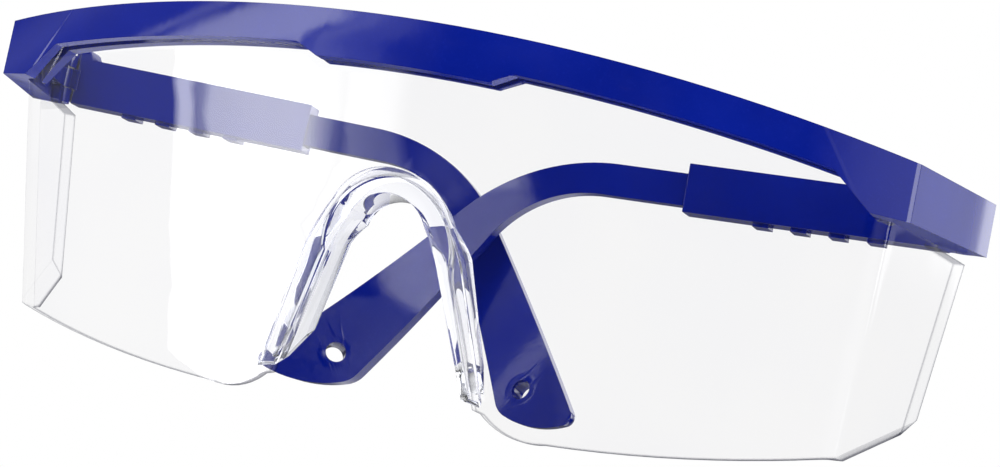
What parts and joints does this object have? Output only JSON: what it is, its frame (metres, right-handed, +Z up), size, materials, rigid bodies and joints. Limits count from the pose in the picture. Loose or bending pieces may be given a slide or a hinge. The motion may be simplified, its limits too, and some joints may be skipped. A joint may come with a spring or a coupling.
{
  "type": "safety goggles",
  "caption": "Adjustable safety spectacles, folded: solid brow frame over a clear one-piece wrap lens with side shields, nose saddle and sliding, hooked temples.",
  "frame": {"origin": "centre of the footprint of the folded spectacles, at the lowest level of the lens lobes", "axes": "+Z up as worn, the front of the lens faces -Y, +X is the wearer's left, X = 0 is the plane of symmetry of frame and lens"},
  "size_m": [0.1606, 0.0576, 0.0558],
  "materials": {
    "frame_plastic": "moulded gloss, deep blue",
    "clear_lens": "polished clear polycarbonate",
    "clear_saddle": "polished clear plastic",
    "screw_steel": "plain steel"
  },
  "bodies": {
    "front": {"brow_frame": "frame_plastic", "lens_shield": "clear_lens", "nose_saddle": "clear_saddle", "fold_screw_left": "screw_steel", "fold_screw_right": "screw_steel"},
    "temple_left": {"temple_sleeve_left": "frame_plastic"},
    "temple_right": {"temple_sleeve_right": "frame_plastic"},
    "arm_left": {"temple_arm_left": "frame_plastic"},
    "arm_right": {"temple_arm_right": "frame_plastic"}
  },
  "joints": [
    {"name": "fold_left", "type": "hinge", "parent": "front", "child": "temple_left", "pos_m": [0.0762, 0.01891, 0.04565], "axis": [0, 0, -1], "range_deg": [0, 91.5]},
    {"name": "fold_right", "type": "hinge", "parent": "front", "child": "temple_right", "pos_m": [-0.0762, 0.01891, 0.04565], "axis": [0, 0, 1], "range_deg": [0, 86.6]},
    {"name": "slide_left", "type": "slide", "parent": "temple_left", "child": "arm_left", "axis": [-0.9997, 0, -0.0262], "range_m": [-0.006, 0.012]},
    {"name": "slide_right", "type": "slide", "parent": "temple_right", "child": "arm_right", "axis": [0.996, 0.0854, -0.0262], "range_m": [-0.006, 0.012]}
  ]
}
